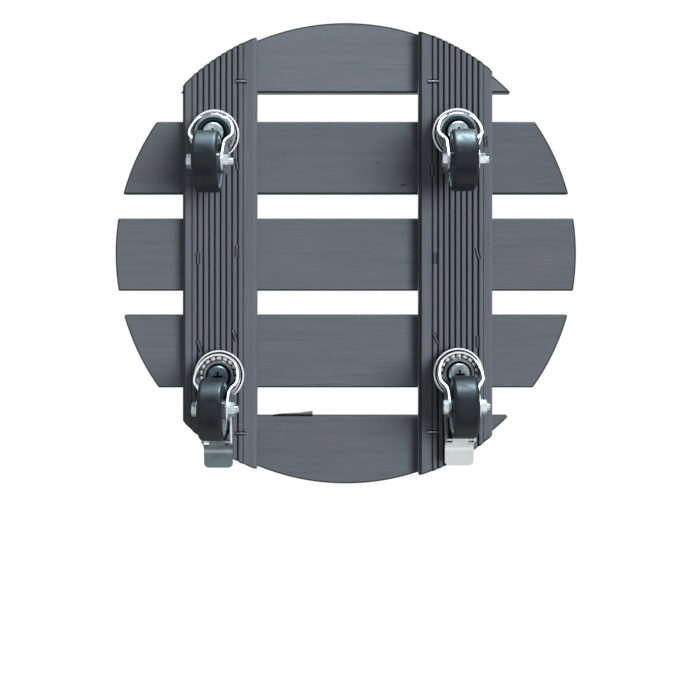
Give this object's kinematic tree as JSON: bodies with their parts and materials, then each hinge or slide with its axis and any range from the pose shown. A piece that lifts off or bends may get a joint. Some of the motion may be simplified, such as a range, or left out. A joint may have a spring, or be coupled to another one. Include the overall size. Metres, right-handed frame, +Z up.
{
  "type": "plant caddy",
  "caption": "Round slatted wooden plant caddy on swivel casters, some of them with a foot-pedal brake.",
  "frame": {"origin": "on the floor under the centre of the round deck", "axes": "+Z up; slats run along Y and the two battens under them along X; at rest all casters trail towards -X, where the brake pedals point"},
  "size_m": [0.4, 0.4, 0.101],
  "materials": {
    "stained_wood": "opaque blue-grey stain on planed softwood, one face ribbed",
    "staple_wire": "bright galvanised wire",
    "zinc_hardware": "bright zinc plating",
    "bearing_steel": "polished balls",
    "cup_steel": "zinc-plated pressing",
    "zinc_sheet": "zinc-plated pressed sheet",
    "dark_spring_steel": "dark oiled spring steel",
    "tyre_rubber": "soft dark grey rubber",
    "rim_plastic": "light blue-grey plastic",
    "hub_plastic": "dark slate plastic"
  },
  "bodies": {
    "deck": {"slat_1": "stained_wood", "slat_2": "stained_wood", "slat_3": "stained_wood", "slat_4": "stained_wood", "slat_5": "stained_wood", "batten_front": "stained_wood", "batten_rear": "stained_wood", "staples": "staple_wire", "mounting_screws": "zinc_hardware", "kingpins": "zinc_hardware", "upper_balls": "bearing_steel", "lower_balls": "bearing_steel", "front_left_cup": "cup_steel", "front_left_retainer": "zinc_sheet", "rear_left_cup": "cup_steel", "rear_left_retainer": "zinc_sheet", "front_right_cup": "cup_steel", "front_right_retainer": "zinc_sheet", "rear_right_cup": "cup_steel", "rear_right_retainer": "zinc_sheet"},
    "front_left_caster": {"front_left_fork": "zinc_sheet", "front_left_axle_sleeve": "zinc_hardware", "front_left_axle_bolt": "zinc_hardware", "front_left_axle_nut": "zinc_hardware", "front_left_pedal_spring": "dark_spring_steel", "front_left_pedal_pin": "zinc_hardware"},
    "front_left_wheel": {"front_left_tyre": "tyre_rubber", "front_left_rim": "rim_plastic", "front_left_hub": "hub_plastic"},
    "front_left_pedal": {"front_left_pedal": "zinc_sheet", "front_left_brake_shoe": "dark_spring_steel"},
    "rear_left_caster": {"rear_left_fork": "zinc_sheet", "rear_left_axle_sleeve": "zinc_hardware", "rear_left_axle_bolt": "zinc_hardware", "rear_left_axle_nut": "zinc_hardware", "rear_left_pedal_spring": "dark_spring_steel", "rear_left_pedal_pin": "zinc_hardware"},
    "rear_left_wheel": {"rear_left_tyre": "tyre_rubber", "rear_left_rim": "rim_plastic", "rear_left_hub": "hub_plastic"},
    "rear_left_pedal": {"rear_left_pedal": "zinc_sheet", "rear_left_brake_shoe": "dark_spring_steel"},
    "front_right_caster": {"front_right_fork": "zinc_sheet", "front_right_axle_sleeve": "zinc_hardware", "front_right_axle_bolt": "zinc_hardware", "front_right_axle_nut": "zinc_hardware"},
    "front_right_wheel": {"front_right_tyre": "tyre_rubber", "front_right_rim": "rim_plastic", "front_right_hub": "hub_plastic"},
    "rear_right_caster": {"rear_right_fork": "zinc_sheet", "rear_right_axle_sleeve": "zinc_hardware", "rear_right_axle_bolt": "zinc_hardware", "rear_right_axle_nut": "zinc_hardware"},
    "rear_right_wheel": {"rear_right_tyre": "tyre_rubber", "rear_right_rim": "rim_plastic", "rear_right_hub": "hub_plastic"}
  },
  "joints": [
    {"name": "front_left_swivel", "type": "hinge", "parent": "deck", "child": "front_left_caster", "pos_m": [-0.1028, -0.1067, 0.062], "axis": [0, 0, 1], "continuous": true},
    {"name": "front_left_spin", "type": "hinge", "parent": "front_left_caster", "child": "front_left_wheel", "pos_m": [-0.1253, -0.1067, 0.025], "axis": [0, 1, 0], "continuous": true},
    {"name": "front_left_pedal_press", "type": "hinge", "parent": "front_left_caster", "child": "front_left_pedal", "pos_m": [-0.1562, -0.1067, 0.0492], "axis": [0, -1, 0], "range_deg": [0, 18]},
    {"name": "rear_left_swivel", "type": "hinge", "parent": "deck", "child": "rear_left_caster", "pos_m": [-0.1009, 0.095, 0.062], "axis": [0, 0, 1], "continuous": true},
    {"name": "rear_left_spin", "type": "hinge", "parent": "rear_left_caster", "child": "rear_left_wheel", "pos_m": [-0.1234, 0.095, 0.025], "axis": [0, 1, 0], "continuous": true},
    {"name": "rear_left_pedal_press", "type": "hinge", "parent": "rear_left_caster", "child": "rear_left_pedal", "pos_m": [-0.1543, 0.095, 0.0492], "axis": [0, -1, 0], "range_deg": [0, 18]},
    {"name": "front_right_swivel", "type": "hinge", "parent": "deck", "child": "front_right_caster", "pos_m": [0.1002, -0.1109, 0.062], "axis": [0, 0, 1], "continuous": true},
    {"name": "front_right_spin", "type": "hinge", "parent": "front_right_caster", "child": "front_right_wheel", "pos_m": [0.0737, -0.1109, 0.025], "axis": [0, 1, 0], "continuous": true},
    {"name": "rear_right_swivel", "type": "hinge", "parent": "deck", "child": "rear_right_caster", "pos_m": [0.1013, 0.0942, 0.062], "axis": [0, 0, 1], "continuous": true},
    {"name": "rear_right_spin", "type": "hinge", "parent": "rear_right_caster", "child": "rear_right_wheel", "pos_m": [0.0748, 0.0942, 0.025], "axis": [0, 1, 0], "continuous": true}
  ]
}
